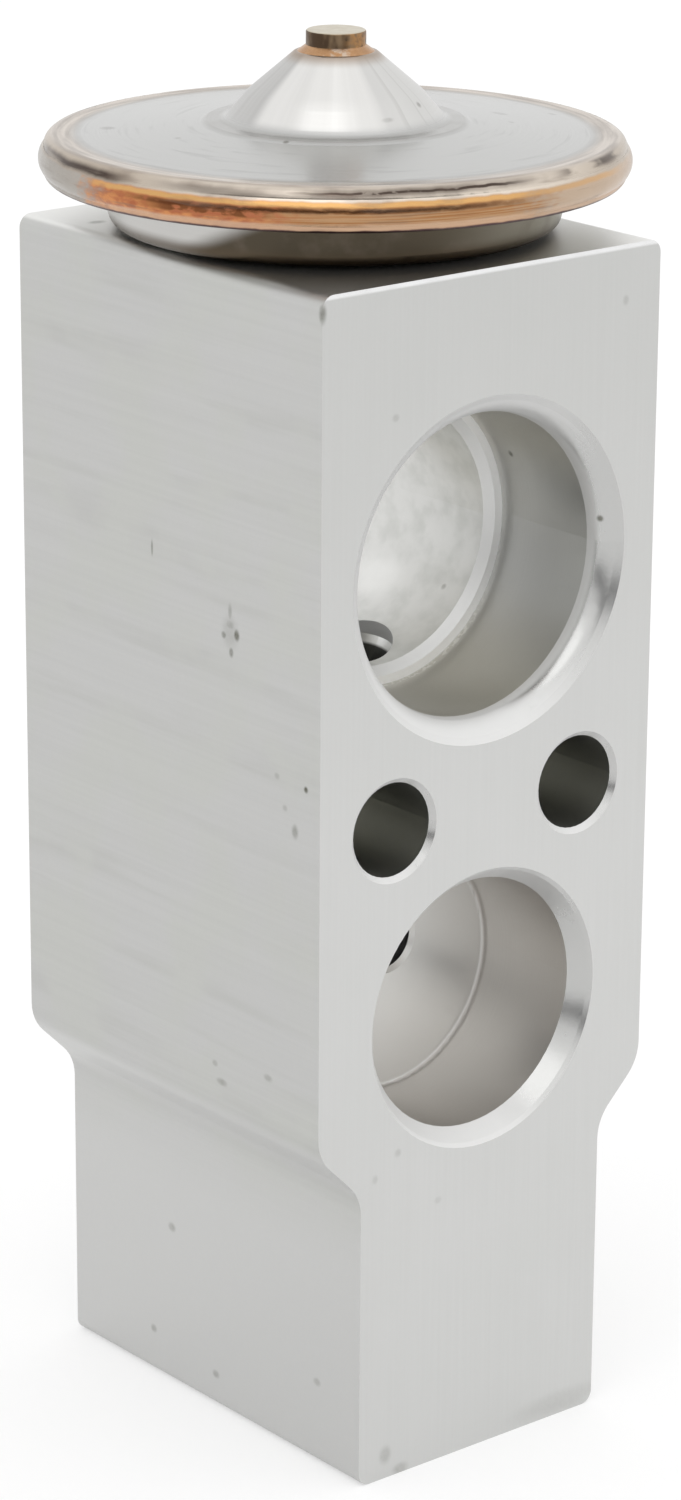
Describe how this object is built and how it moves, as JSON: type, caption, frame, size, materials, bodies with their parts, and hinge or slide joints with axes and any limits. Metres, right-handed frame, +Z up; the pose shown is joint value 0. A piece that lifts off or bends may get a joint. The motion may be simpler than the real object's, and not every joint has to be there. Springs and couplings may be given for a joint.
{
  "type": "block-type refrigerant expansion valve",
  "caption": "Rectangular aluminium block with bored ports in both faces and a round welded diaphragm head, around a spring-loaded ball valve worked by a rod.",
  "frame": {"origin": "centre of the block's bottom face, on the axis of the head, rod and adjusting screw", "axes": "+Z up along the valve axis towards the head; -Y out of the connection face seen in the picture; +X to its right"},
  "size_m": [0.0382, 0.0382, 0.0938],
  "materials": {
    "block": "extruded block, sawn and milled faces, clear finish",
    "cap": "pressed stainless sheet, polished by the press tool",
    "weld": "stainless weld bead with copper-orange heat tint",
    "plug": "steel plug with brown heat tint on its side",
    "inner_steel": "turned or stamped steel",
    "spring_steel": "drawn spring steel",
    "ball": "ground bearing ball",
    "rod": "ground stainless rod",
    "screw": "turned brass",
    "seal": "moulded black rubber"
  },
  "bodies": {
    "valve_body": {"valve_body": "block", "valve_seat": "inner_steel", "rod_seal": "seal", "rod_seal_retainer": "spring_steel", "lower_cap": "cap", "head_seal": "seal", "diaphragm": "spring_steel", "upper_cap": "cap", "rim_weld": "weld", "charge_plug": "plug", "plug_weld": "weld"},
    "stem": {"stop_plate": "inner_steel", "sensing_rod": "rod", "push_pin": "rod", "valve_ball": "ball", "ball_holder": "inner_steel", "damping_spring": "spring_steel"},
    "screw_seal": {"screw_seal": "seal"},
    "adjusting_screw": {"adjusting_screw": "screw", "superheat_spring": "spring_steel"}
  },
  "joints": [
    {"name": "stem_slide", "type": "slide", "parent": "valve_body", "child": "stem", "axis": [0, 0, -1], "range_m": [0, 0.0008], "stiffness_N_per_m": 2000, "springref_m": -0.0002, "deforming": ["diaphragm", "superheat_spring"]},
    {"name": "screw_travel", "type": "slide", "parent": "valve_body", "child": "screw_seal", "axis": [0, 0, 1], "range_m": [-0.00101, 0.00101]},
    {"name": "screw_turn", "type": "hinge", "parent": "screw_seal", "child": "adjusting_screw", "pos_m": [0, 0, 0.0015], "axis": [0, 0, 1], "range_deg": [-360, 360]}
  ],
  "couplings": [
    {"joint": "screw_travel", "follows": "screw_turn", "m_per_rad": 0.00015915}
  ]
}
